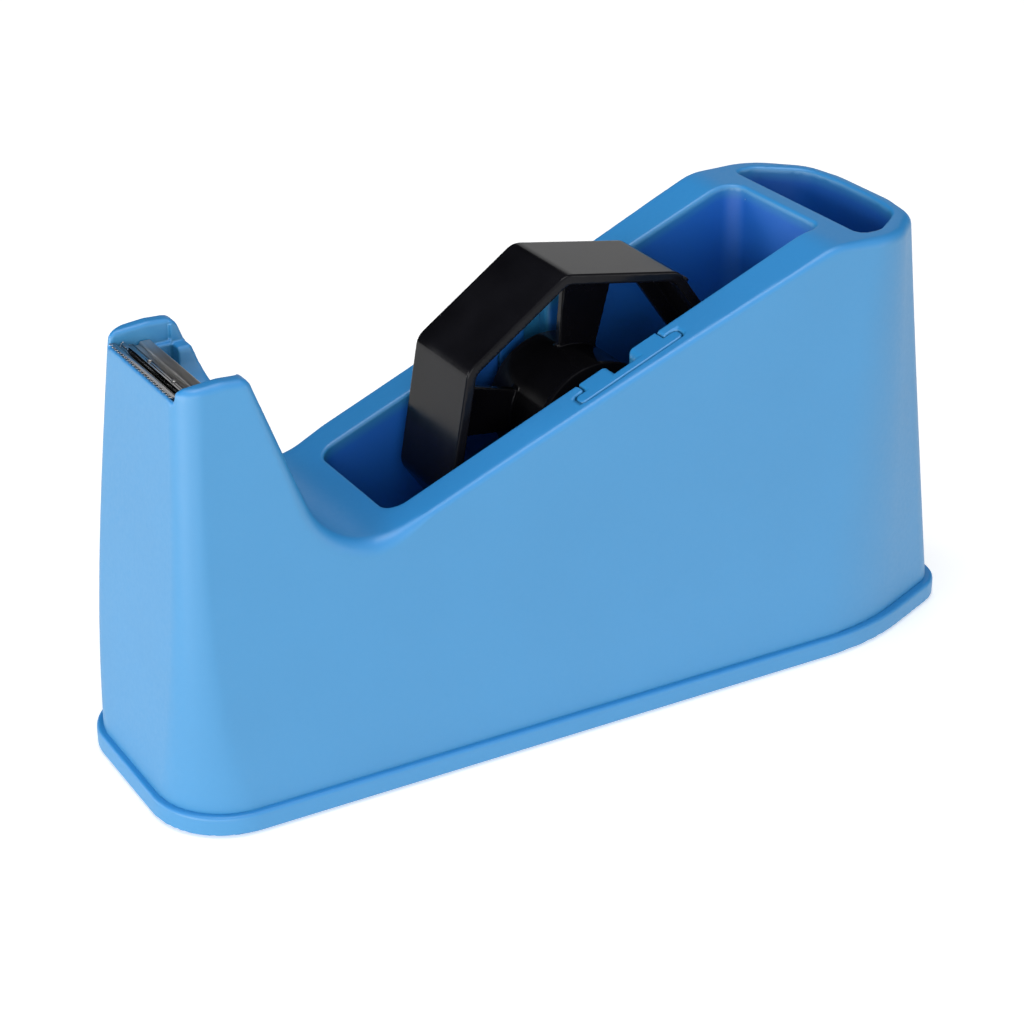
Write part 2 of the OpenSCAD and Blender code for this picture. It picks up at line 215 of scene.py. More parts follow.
def gradient(field, points, step=0.02):
    out = np.empty_like(points)
    for axis in range(3):
        shift = np.zeros(3)
        shift[axis] = step
        ahead, behind = points + shift, points - shift
        out[:, axis] = (field(*ahead.T) - field(*behind.T)) / (2 * step)
    return out


def crossings(values, lines):
    """One vertex for each grid cell that the surface passes, and the cells' vertex numbers."""
    inside = values < 0
    nx, ny, nz = (n - 1 for n in values.shape)
    corners = [(i, j, k) for i in (0, 1) for j in (0, 1) for k in (0, 1)]
    count = sum(inside[i:nx + i, j:ny + j, k:nz + k].astype(np.int8) for i, j, k in corners)
    cells = np.argwhere((count > 0) & (count < 8))
    number = np.full((nx, ny, nz), -1, np.int64)
    number[tuple(cells.T)] = np.arange(len(cells))
    total = np.zeros((len(cells), 3))
    hits = np.zeros(len(cells))
    for a in corners:
        for axis in range(3):
            if a[axis]:
                continue
            b = list(a)
            b[axis] = 1
            ia, ib = (cells + a).T, (cells + b).T
            va, vb = values[tuple(ia)], values[tuple(ib)]
            crossed = (va < 0) != (vb < 0)
            share = np.where(crossed, va / np.where(crossed, va - vb, 1), 0)
            for c in range(3):
                pa, pb = lines[c][ia[c]], lines[c][ib[c]]
                total[:, c] += np.where(crossed, mix(pa, pb, share), 0)
            hits += crossed
    return total / hits[:, None], number, inside


def quads_of(number, inside):
    """Quads round each grid edge that the surface crosses, facing outwards."""
    quads = []
    for axis in range(3):
        u, v = (axis + 1) % 3, (axis + 2) % 3
        order = (axis, u, v)
        s = inside.transpose(order)
        n = number.transpose(order)
        first, second = s[:-1, 1:-1, 1:-1], s[1:, 1:-1, 1:-1]
        ring = [n[:, :-1, :-1], n[:, 1:, :-1], n[:, 1:, 1:], n[:, :-1, 1:]]
        out = first & ~second
        back = ~first & second
        quads.append(np.stack([r[out] for r in ring], 1))
        quads.append(np.stack([r[back] for r in ring[::-1]], 1))
    return np.concatenate(quads)


def mesh_piece(name, vertices, faces, material, normals=None):
    """A smooth Blender object from vertices in millimetres."""
    mesh = bpy.data.meshes.new(name)
    mesh.from_pydata((np.asarray(vertices) / MM).tolist(), [], [list(map(int, f)) for f in faces])
    mesh.polygons.foreach_set("use_smooth", [True] * len(mesh.polygons))
    mesh.materials.append(material)
    mesh.update()
    if normals is not None:
        mesh.normals_split_custom_set_from_vertices(normals.tolist())
    piece = bpy.data.objects.new(name, mesh)
    bpy.context.scene.collection.objects.link(piece)
    return piece


def surface(name, field, lines, material, lift=None):
    """The smooth mesh of a distance function, sampled on three rows of grid lines.

    lift(x, z) bends the flat layers of the grid, so that they follow a sloping surface.
    """
    x, y, z = np.ix_(*lines)
    shape = tuple(len(row) for row in lines)
    if lift:
        z = lift(x, z)
    values = np.broadcast_to(field(x, y, z), shape)
    points, number, inside = crossings(values, lines)
    if lift:
        points[:, 2] = lift(points[:, 0], points[:, 2])
    for _ in range(5):
        value = field(*points.T)
        slope = gradient(field, points)
        step = value / np.maximum((slope ** 2).sum(1), 0.05)
        points -= np.clip(slope * step[:, None], -0.4, 0.4)
    normals = gradient(field, points)
    normals /= np.maximum(np.linalg.norm(normals, axis=1), 1e-6)[:, None]
    return mesh_piece(name, points, quads_of(number, inside), material, normals)


def stands_for(piece, body, slot, *nodes):
    """piece rides on a body and stands for CAD nodes, which it hides; slot is not used."""
    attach(piece, body)
    if nodes:
        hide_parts(*nodes)


def lathe(profile, steps=64):
    """Rings round the Z axis through (radius, height) points, as vertices and faces."""
    vertices, faces = [], []
    for i in range(steps):
        a = 2 * math.pi * i / steps
        vertices += [(r * math.cos(a), r * math.sin(a), z) for r, z in profile]
    n = len(profile)
    for i in range(steps):
        for k in range(n - 1):
            a, b = i * n + k, ((i + 1) % steps) * n + k
            faces.append((a, b, b + 1, a + 1))
    return np.array(vertices), faces


# ---- Materials ------------------------------------------------------------------------

def new_material(name):
    material = bpy.data.materials.new(name)
    material.use_nodes = True
    tree = material.node_tree
    shader = tree.nodes["Principled BSDF"]
    place = tree.nodes.new("ShaderNodeTexCoord").outputs["Object"]
    return material, tree, shader, place


def noise(tree, place, scale, detail=2.0):
    node = tree.nodes.new("ShaderNodeTexNoise")
    node.inputs["Scale"].default_value = scale
    node.inputs["Detail"].default_value = detail
    tree.links.new(place, node.inputs["Vector"])
    return node.outputs["Fac"]


def spread(tree, value, low, high, start=0.3, end=0.7):
    """value between start and end, as a number from low to high."""
    node = tree.nodes.new("ShaderNodeMapRange")
    for name, number in (("From Min", start), ("From Max", end), ("To Min", low), ("To Max", high)):
        node.inputs[name].default_value = number
    tree.links.new(value, node.inputs["Value"])
    return node.outputs["Result"]


def blend_colours(tree, share, first, second):
    """A colour between two, each of them a colour or another node's output."""
    node = tree.nodes.new("ShaderNodeMix")
    node.data_type = "RGBA"
    tree.links.new(share, node.inputs["Factor"])
    for socket, colour in ((node.inputs[6], first), (node.inputs[7], second)):
        if isinstance(colour, tuple):
            socket.default_value = (*colour, 1)
        else:
            tree.links.new(colour, socket)
    return node.outputs[2]


def bump(tree, shader, height, strength, distance):
    node = tree.nodes.new("ShaderNodeBump")
    node.inputs["Strength"].default_value = strength
    node.inputs["Distance"].default_value = distance
    tree.links.new(height, node.inputs["Height"])
    tree.links.new(node.outputs["Normal"], shader.inputs["Normal"])


def specks(tree, place, scale, size):
    """1 on sparse tiny dots, 0 elsewhere."""
    node = tree.nodes.new("ShaderNodeTexVoronoi")
    node.inputs["Scale"].default_value = scale
    tree.links.new(place, node.inputs["Vector"])
    return spread(tree, node.outputs["Distance"], 1.0, 0.0, size * 0.6, size)


def calculate(tree, operation, first, second):
    """A sum, product and so on of a number or output and a number."""
    node = tree.nodes.new("ShaderNodeMath")
    node.operation = operation
    tree.links.new(first, node.inputs[0])
    if isinstance(second, float):
        node.inputs[1].default_value = second
    else:
        tree.links.new(second, node.inputs[1])
    return node.outputs["Value"]


# Where the painted shade of the well and the cup, a deeper blue, fades out: below their rims,
# behind the rear wall of the cup, and across the slanted corners beside it
RECESS_DEPTH = (0.6, 3.5)
CUP_REAR_X = (HALF_L - 20.2, HALF_L - 19.9)
CUP_SLANT_DIRECTION = (0.607, 0.795)
CUP_SLANT_REACH = (62.2, 62.8)


def product(tree, first, *others):
    for other in others:
        first = calculate(tree, "MULTIPLY", first, other)
    return first


def rises(tree, value, start, end):
    """0 up to start and 1 from end on, both in millimetres."""
    return spread(tree, value, 0.0, 1.0, start / MM, end / MM)


def falls(tree, value, start, end):
    """1 up to start and 0 from end on, both in millimetres."""
    return spread(tree, value, 1.0, 0.0, start / MM, end / MM)


def recess_shade_share(tree, place):
    """Share of the painted shade in the recesses: 1 on the walls of the roll well and the cup,
    fading to 0 at their rims.
    """
    split = tree.nodes.new("ShaderNodeSeparateXYZ")
    tree.links.new(place, split.inputs["Vector"])
    x, y, z = split.outputs
    across = calculate(tree, "ABSOLUTE", y, 0.0)
    ramp = calculate(tree, "MULTIPLY_ADD", x, RAMP_SLOPE)
    ramp.node.inputs[2].default_value = RAMP_MID_Z / MM
    depth = calculate(tree, "SUBTRACT", calculate(tree, "MINIMUM", ramp, TOP_Z / MM), z)
    below = rises(tree, depth, *RECESS_DEPTH)
    in_well = falls(tree, across, WELL_HALF, WELL_HALF + 0.5)
    well_front = rises(tree, x, WELL_X0 - 0.4, WELL_X0)
    well_rear = falls(tree, x, WELL_X1, WELL_X1 + 0.4)
    in_cup = falls(tree, across, CUP_HALF, CUP_HALF + 0.5)
    cup_front = rises(tree, x, CUP_X0 - 0.4, CUP_X0)
    cup_rear = falls(tree, x, *CUP_REAR_X)
    slant_x = calculate(tree, "MULTIPLY", x, CUP_SLANT_DIRECTION[0])
    slant_y = calculate(tree, "MULTIPLY", across, CUP_SLANT_DIRECTION[1])
    cup_slant = falls(tree, calculate(tree, "ADD", slant_x, slant_y), *CUP_SLANT_REACH)
    wells = product(tree, in_well, well_front, well_rear)
    cups = product(tree, in_cup, cup_front, product(tree, cup_rear, cup_slant))
    return calculate(tree, "MULTIPLY", below, calculate(tree, "MAXIMUM", wells, cups))


def top_shade_share(tree):
    """Share of the painted top shade: 0 on upright walls, 1 on level ones."""
    split = tree.nodes.new("ShaderNodeSeparateXYZ")
    tree.links.new(tree.nodes.new("ShaderNodeTexCoord").outputs["Normal"], split.inputs["Vector"])
    return spread(tree, split.outputs["Z"], 0.0, 1.0, 0.15, 0.8)


def moulded_plastic(name, colour, shade, roughness, grain, painted_recess_shade=None):
    """Satin moulded plastic: faint colour drift, painted shade on level faces and, where given, in the
    recesses, fine grain in the gloss, and a few dust specks.
    """
    material, tree, shader, place = new_material(name)
    drift = spread(tree, noise(tree, place, 26, 3), 0, 1)
    body = blend_colours(tree, drift, colour, shade)
    # Painted shade: level faces take a deeper, more saturated blue than the walls
    body = blend_colours(tree, top_shade_share(tree), body, TOP_SHADE_BLUE)
    # Painted shade: the walls of the well and the cup take a deeper blue below their rims
    if painted_recess_shade:
        body = blend_colours(tree, recess_shade_share(tree, place), body, painted_recess_shade)
    pale = tuple(0.4 + 0.6 * c for c in colour)
    dust = blend_colours(tree, specks(tree, place, 62, 0.011), body, pale)
    tree.links.new(dust, shader.inputs["Base Color"])
    gloss = spread(tree, noise(tree, place, 900, 4), roughness - 0.03, roughness + 0.03)
    tree.links.new(gloss, shader.inputs["Roughness"])
    shader.inputs["Specular IOR Level"].default_value = 1.0
    bump(tree, shader, noise(tree, place, 2600, 2), grain, 0.00004)
    return material


def gloss_black(name, specular):
    """Polished black polystyrene with handling haze and hairline scuffs."""
    material, tree, shader, place = new_material(name)
    haze = noise(tree, place, 55, 5)
    tone = spread(tree, haze, 0, 1)
    body = blend_colours(tree, tone, (0.003, 0.003, 0.004), (0.007, 0.007, 0.009))
    dust = blend_colours(tree, specks(tree, place, 150, 0.012), body, (0.12, 0.12, 0.13))
    tree.links.new(dust, shader.inputs["Base Color"])
    tree.links.new(spread(tree, haze, 0.08, 0.2), shader.inputs["Roughness"])
    shader.inputs["Specular IOR Level"].default_value = specular
    bump(tree, shader, noise(tree, place, 210, 3), 0.12, 0.0001)
    return material


def metal(name, colour, shade, roughness, along, grain=0.15):
    """Rolled or drawn metal, with its grain drawn out along one axis."""
    material, tree, shader, place = new_material(name)
    stretch = tree.nodes.new("ShaderNodeMapping")
    stretch.inputs["Scale"].default_value = tuple(0.06 if axis == along else 1.0 for axis in "xyz")
    tree.links.new(place, stretch.inputs["Vector"])
    lines = noise(tree, stretch.outputs["Vector"], 2400, 4)
    cloud = noise(tree, place, 90, 3)
    tone = blend_colours(tree, spread(tree, cloud, 0, 1), colour, shade)
    gloss = spread(tree, lines, roughness - 0.08, roughness + 0.08)
    tree.links.new(tone, shader.inputs["Base Color"])
    tree.links.new(gloss, shader.inputs["Roughness"])
    shader.inputs["Metallic"].default_value = 1.0
    bump(tree, shader, lines, grain, 0.00005)
    return material


def rough_solid(name, colour, shade, roughness, scale, depth):
    """Cast iron or rubber: matt, mottled and pitted."""
    material, tree, shader, place = new_material(name)
    cloud = noise(tree, place, scale, 6)
    tone = blend_colours(tree, spread(tree, cloud, 0, 1), colour, shade)
    gloss = spread(tree, cloud, roughness - 0.1, roughness + 0.1)
    tree.links.new(tone, shader.inputs["Base Color"])
    tree.links.new(gloss, shader.inputs["Roughness"])
    bump(tree, shader, noise(tree, place, scale * 4, 4), 0.5, depth)
    return material


BLUE = (0.017, 0.213, 0.458)
BLUE_SHADE = (0.019, 0.224, 0.48)
# Painted shade of the level faces
TOP_SHADE_BLUE = (0.015, 0.235, 0.58)
# Painted shade inside the well and the cup
RECESS_SHADE_BLUE = (0.002, 0.125, 0.55)
shell_blue = moulded_plastic("shell_blue", BLUE, BLUE_SHADE, 0.48, 0.12, RECESS_SHADE_BLUE)
base_blue = moulded_plastic("base_blue", BLUE, BLUE_SHADE, 0.48, 0.12)
# The brackets sit in the well walls and take its painted shade too
bracket_blue = moulded_plastic("bracket_blue", BLUE, BLUE_SHADE, 0.44, 0.10, RECESS_SHADE_BLUE)
wheel_black = gloss_black("wheel_black", 0.14)
spindle_black = gloss_black("spindle_black", 0.05)
blade_dark = metal("blade_dark", (0.30, 0.30, 0.31), (0.38, 0.38, 0.39), 0.16, "y", 0.08)
blade_edge = metal("blade_edge", (0.82, 0.82, 0.84), (0.68, 0.68, 0.71), 0.22, "z")
holder_steel = metal("holder_steel", (0.46, 0.455, 0.45), (0.54, 0.53, 0.52), 0.4, "y", 0.1)
bright_steel = metal("bright_steel", (0.56, 0.56, 0.58), (0.48, 0.48, 0.5), 0.24, "y")
ballast_iron = rough_solid("ballast_iron", (0.05, 0.05, 0.053), (0.09, 0.085, 0.08),
                           0.7, 400, 0.0004)
foot_rubber = rough_solid("foot_rubber", (0.018, 0.018, 0.019), (0.03, 0.03, 0.031),
                          0.75, 700, 0.0001)


# ---- Shell ----------------------------------------------------------------------------

# Half outlines from the front corner to the rear: x, y and corner radius
LIP = [(-HALF_L, HALF_W, 17.0), (71.2, HALF_W, 60.0), (HALF_L - 1.1, 17.8, 11.5),
       (HALF_L, 9.0, 20.0)]
FOOT = [(x - np.sign(x) * LIP_STEP, y - LIP_STEP, r - LIP_STEP) for x, y, r in LIP]
TOP = [(-92.6, 19.0, 5.5), (72.0, 29.9, 14.0), (83.0, 19.3, 12.0), (85.0, 9.0, 20.0)]
FRONT_CORNER_POWER = 3.5


def half_outline(x, y, corners):
    """Distance to an outline that is symmetric about the X axis, from its front corner round."""
    first, last = corners[0], corners[-1]
    ends = [(first[0], -60.0, 0.0), *corners, (last[0], -60.0, 0.0)]
    return rounded_line(x, np.abs(y), ends)


def lip_outline(x, y, inset=0.0):
    corners = [(a - np.sign(a) * inset, b - inset, max(r - inset, 1.0)) for a, b, r in LIP]
    return half_outline(x, y, corners)


def shell_outline(x, y, z):
    """The tapering plan outline; the front corner tightens quickly above the foot."""
    t = np.clip((z - SHELL_Z) / (LOFT_TOP_Z - SHELL_Z), 0, 1)
    corners = [tuple(mix(a, b, t) for a, b in zip(low, high)) for low, high in zip(FOOT, TOP)]
    front_r = mix(TOP[0][2], FOOT[0][2], (1 - t) ** FRONT_CORNER_POWER)
    corners[0] = (corners[0][0], corners[0][1], front_r)
    return half_outline(x, y, corners)


def ramp_z(x):
    return RAMP_MID_Z + x * RAMP_SLOPE


def tower_x(z):
    return TOWER_REAR_X + (TOWER_REAR_Z - z) * TOWER_SLOPE


VALLEY_X = tower_x(RAMP_MID_Z) / (1 + TOWER_SLOPE * RAMP_SLOPE)
PROFILE = [
    (-200.0, LUG_FRONT_Z, 0.0), (-93.2, LUG_FRONT_Z, 12.0), (-84.0, LUG_TOP_Z, 8.0),
    (tower_x(LUG_TOP_Z), LUG_TOP_Z - 0.3, 2.6), (VALLEY_X, ramp_z(VALLEY_X), 15.0),
    ((TOP_Z - RAMP_MID_Z) / RAMP_SLOPE, TOP_Z, 14.0), (200.0, TOP_Z, 0.0),
]
# Radius of the fillet between the sides and the side profile, along X
EDGE_X = [-90, -78, -70, -54, -42, 45, 66]
EDGE_R = [1.5, 1.8, 3.2, 3.6, 1.3, 1.3, 2.2]


def outer_form(x, y, z, inset=0.0):
    edge_r = np.maximum(np.interp(x, EDGE_X, EDGE_R) - inset, 0.3)
    return both(shell_outline(x, y, z) + inset, rounded_line(x, z, PROFILE) + inset, edge_r)


def well(x, y, z):
    middle, half = (WELL_X0 + WELL_X1) / 2, (WELL_X1 - WELL_X0) / 2
    return both(rectangle(x - middle, y, half, WELL_HALF, WELL_R), WELL_FLOOR_Z - z, 2.0)


def cup(x, y, z):
    corners = [(CUP_X0, CUP_HALF, 2.5), (70.5, CUP_HALF, 5.0), (80.2, 16.5, 9.0), (81.6, 6.0, 20.0)]
    return both(half_outline(x, y, corners), CUP_FLOOR_Z - z, 2.0)


def blade_seat(x, y, z):
    """The gap between the two lugs, behind and above the raised lip under the teeth."""
    seat = both(np.abs(y) - SEAT_HALF, x - POCKET_X1, 0.2)
    gap = np.maximum(np.abs(y) - LUG_HALF, x + 60)
    behind_lip = both(BLADE_LIP_X - x, DECK_Z - z, 0.2)
    return both(join(seat, gap, 0.2), join(behind_lip, BLADE_LIP_Z - z, 0.3), 0.3)


# Radius of the rounded edge where the seat is cut, from the middle to the lugs
SEAT_EDGE_Y, SEAT_EDGE_R = [14.0, 16.0], [0.35, 1.15]


def pocket(x, y, z):
    sides = both(between(x, POCKET_X0, POCKET_X1), np.abs(y) - POCKET_HALF, 0.4)
    return np.maximum(sides, POCKET_FLOOR_Z - z)


def finger_notch(x, y, z):
    bottom = [(FINGER_HALF, 200.0, 0.0), (FINGER_HALF, FINGER_FLOOR_Z, FINGER_R),
              (-20.0, FINGER_FLOOR_Z, 0.0)]
    outline = rounded_line(np.abs(y), z, bottom)
    return np.maximum(outline, between(x, POCKET_X1 - 1, POCKET_X1 + 29))


def bracket_plan(x, y, grown):
    """The T of a bracket, or of its slot when grown."""
    x = x - AXLE_X
    y = np.abs(y)
    inner = rectangle(x, y - (BRACKET_IN + BRACKET_OUT) / 2 + 0.5, BRACKET_INNER_HALF + grown,
                      (BRACKET_OUT - BRACKET_IN) / 2 - 0.5 + grown, 0.3)
    bar = rectangle(x, y - (BRACKET_MID + BRACKET_OUT) / 2, BRACKET_BAR_HALF + grown,
                    (BRACKET_OUT - BRACKET_MID) / 2 + grown, 1.1)
    return join(inner, bar, 0.2)


def posts(x, y, places, radius):
    return np.minimum.reduce([np.hypot(x - px, y - py) - radius for px, py in places])


def shell_field(x, y, z):
    wells = well(x, y, z)
    cups = cup(x, y, z)
    seats = blade_seat(x, y, z)
    pockets = pocket(x, y, z)
    notch = finger_notch(x, y, z)
    slots = np.maximum(bracket_plan(x, y, BRACKET_GAP), BRACKET_LO[2] - z)
    bosses = both(rectangle(x - AXLE_X, np.abs(y) - 30, 16, 14), BRACKET_LO[2] - WALL - z)
    screw_posts = np.maximum(posts(x, y, SCREW_AT, SCREW_POST_R), z - SCREW_POST_TOP_Z)
    kept = np.minimum.reduce([wells - WALL, cups - WALL, seats - WALL, pockets - WALL,
                              notch - WALL, bosses, screw_posts])
    hollow = np.maximum(outer_form(x, y, z, np.interp(z, HIDDEN_WALL_Z, HIDDEN_WALL)), -kept)
    solid = both(outer_form(x, y, z), SHELL_Z - FOOT_OVERLAP - z, 0.3)
    solid = cut(solid, hollow)
    solid = cut(solid, wells, 0.9)
    solid = cut(solid, cups, 0.9)
    solid = cut(solid, slots, 0.35)
    solid = cut(solid, seats, np.interp(np.abs(y), SEAT_EDGE_Y, SEAT_EDGE_R))
    solid = cut(solid, notch, 0.9)
    return cut(solid, pockets, 0.4)


def along_ramp(x, z):
    """Stretches the layers between the foot and the ramp, so that the top ones lie along it."""
    low = ramp_z(VALLEY_X)
    return SHELL_Z + (z - SHELL_Z) * (np.clip(ramp_z(x), low, TOP_Z) - SHELL_Z) / (low - SHELL_Z)


def build_shell():
    """The grid is finest near the corners, the rims and the bend of the valley."""
    fine_x = [-99, -93, -90, -84.6, -79.8, -74, -46, -1, 17, 60.5, 65.2, 82, 85, 97.5, 100]
    fine_y = [11.5, 15.6, 17.2, 20.2, 23.4, 26.0, 28.6]
    fine_z = [86, 92, 95.5]
    ramp = ramp_z(VALLEY_X)
    layers = [
        graded(SHELL_Z - 1.3, ramp - 2.2, 0.6, 1.1, [SHELL_Z], 1.0),
        graded(ramp - 1.8, ramp + 0.6, 0.42, 0.42),
        graded(ramp + 1.6, 102.0, 0.85, 1.45, fine_z, 1.6),
    ]
    lines = (
        graded(-101.5, 101.5, 0.85, 2.3, fine_x, 1.2),
        graded(-30.5, 30.5, 0.74, 2.2, [s * v for s in (-1, 1) for v in fine_y], 0.7),
        np.unique(np.concatenate(layers)),
    )
    shell = surface("body_shell_moulding", shell_field, lines, shell_blue, along_ramp)
    stands_for(shell, "housing", "shell_blue", "body_shell")


# ---- Base -----------------------------------------------------------------------------

BASE_FLOOR_T = 2.2
TONGUE_GAP, TONGUE_T = 0.5, 1.6


def base_field(x, y, z):
    lip = rounded_edge_slab(lip_outline(x, y), z, BASE_Z, SHELL_Z, 0.4, 0.9)
    tongue_inset = LIP_STEP + WALL + TONGUE_GAP
    inner = lip_outline(x, y, tongue_inset + TONGUE_T)
    tongue = np.maximum(lip_outline(x, y, tongue_inset), between(z, SHELL_Z - 1, BASE_HI[2]))
    tongue = cut(tongue, posts(x, y, SCREW_AT, 4.4) + 0 * z)
    plate = np.minimum(lip, tongue)
    plate = cut(plate, np.maximum(inner, BASE_Z + BASE_FLOOR_T - z))
    risers = np.minimum(posts(x, y, SCREW_AT, SCREW_POST_R), posts(x, y, BALLAST_SCREW_AT, 5.0))
    plate = np.minimum(plate, np.maximum(risers, between(z, BASE_Z + 0.5, SHELL_Z)))
    places = SCREW_AT + BALLAST_SCREW_AT
    holes = posts(x, y, places, SCREW_HOLE_R) + 0 * z
    heads = np.maximum(posts(x, y, places, SCREW_HEAD_HOLE_R), z - BASE_Z - SCREW_HEAD_H)
    seats = np.maximum(posts(x, np.abs(y), FOOT_AT, FOOT_R), z - FOOT_T)
    plate = cut(plate, np.minimum(holes, heads), 0.25)
    return cut(plate, seats, 0.25)


def build_base():
    lines = (
        graded(-102.8, 102.8, 0.9, 0.9),
        graded(-31.2, 31.2, 0.9, 0.9),
        graded(0.3, 8.6, 0.3, 0.6, [0.8, 2.0, 2.8, 3.0, 5.0, 8.0], 0.5),
    )
    base = surface("base_plate_moulding", base_field, lines, base_blue)
    stands_for(base, "housing", "base_blue", "base_plate")


def build_feet():
    """Rubber discs with a rounded rim and two rings pressed into the sole."""
    sole = [(0.0, 0.0), (2.4, 0.0), (2.6, 0.3), (3.0, 0.3), (3.2, 0.0), (4.6, 0.0), (4.8, 0.3),
            (5.2, 0.3), (5.4, 0.0), (6.3, 0.0), (6.8, 0.2), (7.0, 0.7), (7.0, 2.0), (0.0, 2.0)]
    for end, (fx, fy) in zip(("front", "rear"), FOOT_AT):
        for side, sign in (("left", -1), ("right", 1)):
            node = f"foot_{end}_{side}"
            vertices, faces = lathe(sole)
            foot = mesh_piece(node + "_pad", vertices + (fx, sign * fy, 0), faces, foot_rubber)
            stands_for(foot, "housing", "foot_rubber", node)


def screw_field(x, y, z, length):
    """A pan head with a cross recess below, and a shank above."""
    head = rounded_edge_slab(np.hypot(x, y) - 3.0, z, 0.0, 1.8, 0.9, 0.1)
    depth = z - 1.1 + 0.25 * np.hypot(x, y)
    arms = np.minimum(rectangle(x, y, 1.7, 0.42, 0.2), rectangle(x, y, 0.42, 1.7, 0.2))
    head = cut(head, np.maximum(arms, depth), 0.08)
    shank = rounded_edge_slab(np.hypot(x, y) - 1.45, z, 1.0, 1.8 + length, 0.0, 0.4)
    return join(head, shank, 0.15)


def build_screws(name, places, length, node):
    """Copies of one screw, joined as one piece."""
    grid = graded(-3.4, 3.4, 0.22, 0.22)
    lines = (grid, grid, graded(-0.4, length + 2.3, 0.16, 0.6, [0, 0.6, 1.2, 1.8], 0.4))
    screw = surface(name, lambda x, y, z: screw_field(x, y, z, length), lines, bright_steel)
    source = screw.data
    corners = np.array([v.co for v in source.vertices]) * MM
    faces = np.array([p.vertices[:] for p in source.polygons])
    lift = BASE_Z + 0.2
    spots = np.concatenate([corners + (x, y, lift) for x, y in places])
    numbers = np.concatenate([faces + i * len(corners) for i in range(len(places))])
    normals = np.tile(np.array([n.vector for n in source.vertex_normals]), (len(places), 1))
    bpy.data.objects.remove(screw)
    joined = mesh_piece(name, spots, numbers, bright_steel, normals)
    stands_for(joined, "housing", "bright_steel", node)


# ---- Brackets -------------------------------------------------------------------------

def bracket_field(x, y, z):
    """Right-hand bracket, with a round-bottomed notch that has soft lead-ins."""
    top = (z - ramp_z(x) + 0.15) * math.cos(math.atan(RAMP_SLOPE))
    solid = both(bracket_plan(x, y, 0.0), top, 0.45)
    solid = both(solid, BRACKET_LO[2] - z, 0.4)
    arm = np.maximum(np.abs(x - AXLE_X) - NOTCH_R, AXLE_Z - z)
    notch = np.minimum(arm, np.hypot(x - AXLE_X, z - AXLE_Z) - NOTCH_R)
    return cut(solid, np.maximum(notch, y - BRACKET_MID), 1.3)


def build_brackets():
    fine_x = [-4.5, -1.5, 5.4, 8, 10.6, 17.5, 20.5]
    fine_z = [50, 60, 62, 76, 78, 80, 82, 84, 86]
    lines = (
        graded(BRACKET_LO[0] - 1, BRACKET_HI[0] + 1, 0.32, 0.6, fine_x, 0.8),
        graded(BRACKET_IN - 1, BRACKET_OUT + 1, 0.28, 0.28),
        graded(BRACKET_LO[2] - 1, BRACKET_HI[2] + 1, 0.32, 1.0, fine_z, 1.0),
    )
    for side, sign in (("left", -1), ("right", 1)):
        piece = surface(f"axle_bracket_{side}_moulding", lambda x, y, z: bracket_field(x, sign * y, z),
                        (lines[0], np.sort(sign * lines[1]), lines[2]), bracket_blue)
        stands_for(piece, "housing", "bracket_blue", f"axle_bracket_{side}")


# ---- Blade ----------------------------------------------------------------------------

TEETH, TOOTH_DEPTH = 21, 0.5


def build_strip():
    """The cutter strip: zigzag teeth, a flat band, a rounded ridge and the edge of the groove."""
    x0, z0 = STRIP_LO[0], DECK_Z + 0.6
    half_w = STRIP_HI[1]
    # Section from the teeth backwards: x behind the tips, height above the seat, thickness
    section = [(0.0, 1.63, 0.08), (0.55, 1.58, 0.2), (1.2, 1.46, 0.4), (1.6, 1.32, 0.4),
               (2.55, 0.52, 0.4)]
    ridge = [(3.3 - 0.55 * math.cos(a), 0.55 + 0.75 * math.sin(a), 0.4)
             for a in np.linspace(0.15, math.pi - 0.15, 9)]
    groove = [(3.95, 0.42, 0.4), (4.6, 0.4, 0.4), (STRIP_HI[0] - x0, 0.4, 0.4)]
    rows = section + ridge + groove
    steps = TEETH * 4
    vertices, faces = [], []
    for i in range(steps + 1):
        y = -half_w + 2 * half_w * i / steps
        tooth = abs((i / 4) % 1 - 0.5) * 2
        for level in (1, 0):
            for k, (dx, height, thick) in enumerate(rows):
                reach = TOOTH_DEPTH * tooth if k == 0 else 0.0
                vertices.append((x0 + dx + reach, y, z0 + height - (0 if level else thick)))
    n = len(rows)
    for i in range(steps):
        a, b = i * 2 * n, (i + 1) * 2 * n
        for k in range(n - 1):
            faces.append((a + k, a + k + 1, b + k + 1, b + k))
            faces.append((a + n + k, b + n + k, b + n + k + 1, a + n + k + 1))
        faces.append((a, b, b + n, a + n))
        faces.append((a + n - 1, a + 2 * n - 1, b + 2 * n - 1, b + n - 1))
    for a in (0, steps * 2 * n):
        ring = [a + k for k in range(n)] + [a + n + k for k in reversed(range(n))]
        faces.append(ring if a == 0 else ring[::-1])
    strip = mesh_piece("cutter_blade_strip", vertices, faces, blade_dark)
    strip.data.materials.append(blade_edge)
    for polygon in strip.data.polygons:
        if all(v % n <= 1 for v in polygon.vertices):
            polygon.material_index = 1
    stands_for(strip, "housing", "blade_steel", "cutter_blade")


def holder_field(x, y, z):
    """The folded holder: a floor, a raised land behind the groove and a hook in the pocket."""
    x = x - HOLDER_LO[0]
    z = z - DECK_Z
    depth = HOLDER_HI[0] - HOLDER_LO[0]
    floor = both(between(x, 0.0, depth), between(z, 0.0, 0.6), 0.1)
    land_side = [(depth - 3.2, -1.0, 0.0), (depth - 2.4, 1.3, 0.5), (depth, 1.3, 0.35),
                 (depth, -1.0, 0.0)]
    land = rounded_line(x, z, land_side)
    land = np.maximum(land, -z)
    hook = np.maximum(between(x, depth - 0.6, depth), between(z, HOLDER_LO[2] - DECK_Z, 1.0))
    plates = np.maximum(np.minimum(floor, land), np.abs(y) - STRIP_HI[1])
    hook = np.maximum(hook, np.abs(y) - POCKET_HALF + 0.3)
    return np.minimum(plates, hook)


